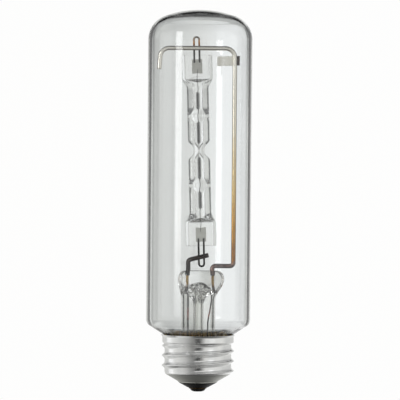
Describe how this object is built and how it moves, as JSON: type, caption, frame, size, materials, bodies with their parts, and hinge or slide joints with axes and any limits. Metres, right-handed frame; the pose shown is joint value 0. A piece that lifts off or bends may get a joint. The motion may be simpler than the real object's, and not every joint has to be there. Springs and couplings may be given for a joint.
{
  "type": "tubular light bulb",
  "caption": "Clear tubular halogen light bulb with a screw cap: a domed glass tube around a quartz burner that hangs on a bent wire frame above a pressed glass stem.",
  "frame": {"origin": "tip of the centre contact, on the axis of the screw cap", "axes": "+Z along the lamp's axis from the contact to the dome, +X to the side of the long frame wire, -Y to the front"},
  "size_m": [0.038, 0.038, 0.139],
  "materials": {
    "clear_glass": "clear blown glass, polished",
    "stem_glass": "clear pressed glass",
    "quartz": "clear fused quartz, flame polished",
    "bright_aluminium": "bright rolled, satin on the cone",
    "black_glass": "glossy black insulating glass",
    "contact_brass": "dull tarnished brass",
    "solder": "dull grey solder",
    "basing_cement": "brown baked cement",
    "seal_wire": "copper-clad sealing wire in glass",
    "lead_wire": "darkened copper wire",
    "nickel_wire": "nickel-plated wire with brown heat tint",
    "scorched_wire": "wire darkened by welding heat",
    "getter_metal": "matt rolled metal strip",
    "molybdenum_wire": "dark drawn molybdenum wire",
    "molybdenum_foil": "matt rolled molybdenum foil",
    "tungsten": "grey coiled tungsten wire"
  },
  "bodies": {
    "root": {"outer_bulb": "clear_glass", "stem": "stem_glass", "exhaust_tube": "stem_glass", "burner_envelope": "quartz", "screw_shell": "bright_aluminium", "insulator": "black_glass", "contact_plate": "contact_brass", "contact_solder": "solder", "side_solder": "solder", "basing_cement": "basing_cement", "frame_seal_wire": "seal_wire", "cross_seal_wire": "seal_wire", "contact_lead": "lead_wire", "shell_lead": "lead_wire", "frame_wire": "nickel_wire", "cross_lead": "scorched_wire", "getter_strip": "getter_metal", "upper_hairpin": "molybdenum_wire", "lower_hairpin": "molybdenum_wire", "upper_foil": "molybdenum_foil", "lower_foil": "molybdenum_foil", "filament": "tungsten"}
  },
  "joints": []
}
